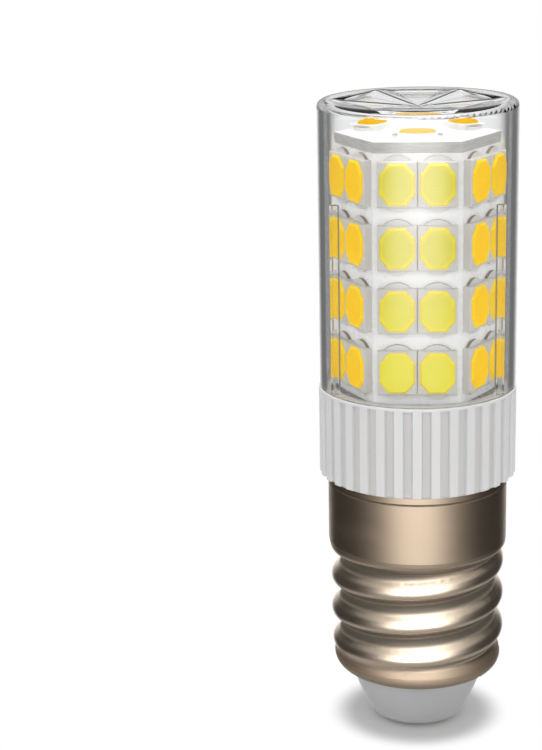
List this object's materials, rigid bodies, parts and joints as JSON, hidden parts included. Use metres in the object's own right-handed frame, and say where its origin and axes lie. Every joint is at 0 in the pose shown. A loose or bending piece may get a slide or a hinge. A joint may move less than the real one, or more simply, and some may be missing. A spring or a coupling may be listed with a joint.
{
  "type": "led corn bulb",
  "caption": "Slim tubular LED bulb with a clear cap over a hexagonal column of LED packages, a ribbed collar and an E14 screw base.",
  "frame": {"origin": "middle of the centre contact's flat face, on the bulb's axis", "axes": "+Z along the bulb's axis from the contact to the cover, one flat of the LED column towards -Y"},
  "size_m": [0.0156, 0.0156, 0.0506],
  "materials": {
    "clear_plastic": "clear, glossy moulded",
    "ivory_plastic": "satin moulded",
    "nickel_shell": "rolled, nickel plated",
    "insulator_plastic": "slightly translucent moulded",
    "contact_metal": "nickel plated",
    "white_board": "white solder mask",
    "led_package": "white moulded",
    "phosphor": "smooth silicone",
    "tinned_metal": "tinned",
    "driver_laminate": "solder mask",
    "film_capacitor": "dipped",
    "capacitor_can": "sleeved can",
    "black_package": "moulded",
    "chip_ceramic": "glazed top",
    "fuse_coating": "lacquered",
    "wire_metal": "tinned copper"
  },
  "bodies": {
    "root": {"base_insulator": "insulator_plastic", "bridge_rectifier": "black_package", "centre_contact": "contact_metal", "chip_resistors": "chip_ceramic", "clear_cover": "clear_plastic", "collar": "ivory_plastic", "column_base": "white_board", "contact_solder": "tinned_metal", "driver_board": "driver_laminate", "driver_ic": "black_package", "electrolytic_capacitor": "capacitor_can", "film_capacitor": "film_capacitor", "fuse_resistor": "fuse_coating", "led_board_1": "white_board", "led_board_2": "white_board", "led_board_3": "white_board", "led_board_4": "white_board", "led_board_5": "white_board", "led_board_6": "white_board", "led_bodies_1": "led_package", "led_bodies_2": "led_package", "led_bodies_3": "led_package", "led_bodies_4": "led_package", "led_bodies_5": "led_package", "led_bodies_6": "led_package", "led_bodies_top": "led_package", "led_terminals_1": "tinned_metal", "led_terminals_2": "tinned_metal", "led_terminals_3": "tinned_metal", "led_terminals_4": "tinned_metal", "led_terminals_5": "tinned_metal", "led_terminals_6": "tinned_metal", "led_terminals_top": "tinned_metal", "phosphor_1": "phosphor", "phosphor_2": "phosphor", "phosphor_3": "phosphor", "phosphor_4": "phosphor", "phosphor_5": "phosphor", "phosphor_6": "phosphor", "phosphor_top": "phosphor", "screw_shell": "nickel_shell", "shell_solder": "tinned_metal", "shell_wire": "wire_metal", "supply_pins": "tinned_metal", "top_board": "white_board"}
  },
  "joints": []
}
